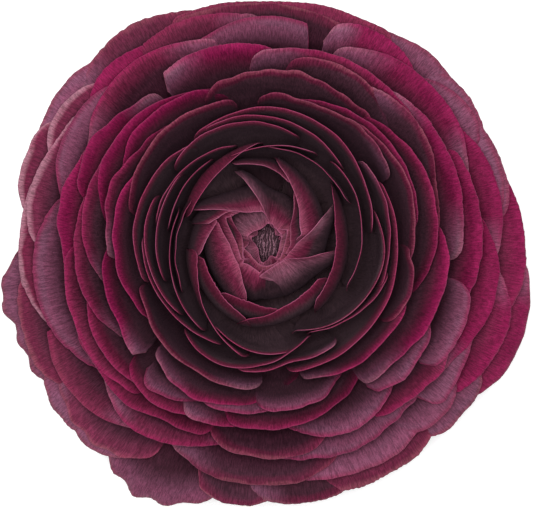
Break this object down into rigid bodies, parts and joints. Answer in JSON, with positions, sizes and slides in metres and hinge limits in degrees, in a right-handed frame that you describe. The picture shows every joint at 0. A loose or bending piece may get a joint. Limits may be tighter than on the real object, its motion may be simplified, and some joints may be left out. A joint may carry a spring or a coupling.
{
  "type": "ranunculus flower",
  "caption": "Fully double ranunculus bloom with nested burgundy to magenta petals round a closed heart, cut close under its head and set down face up.",
  "frame": {"origin": "middle of the flower's outline, on the surface that it rests on", "axes": "+Z up along the flower's own axis, out of the bloom's face; +X to the right and +Y up as the picture shows the bloom from above"},
  "size_m": [0.1052, 0.1012, 0.0575],
  "materials": {
    "petal_heart": "soft satin petal backs, dusty pink over burgundy, finely veined",
    "petal_dark": "velvety deep burgundy petal faces with thin pink rims",
    "petal_magenta": "satin magenta to burgundy petal faces, mauve sheen at the free ends, fine veins to the rim",
    "stamen_dark": "dark, dull, crumpled strands",
    "sepal_green": "matte green sepals with a flush of pink at the edge",
    "stem_green": "matte pale green stalk, freshly cut end"
  },
  "bodies": {
    "root": {"heart_petals": "petal_heart", "inner_petals": "petal_dark", "middle_petals": "petal_magenta", "outer_petals": "petal_magenta", "heart_core": "stamen_dark", "calyx": "sepal_green", "stem": "stem_green"}
  },
  "joints": []
}
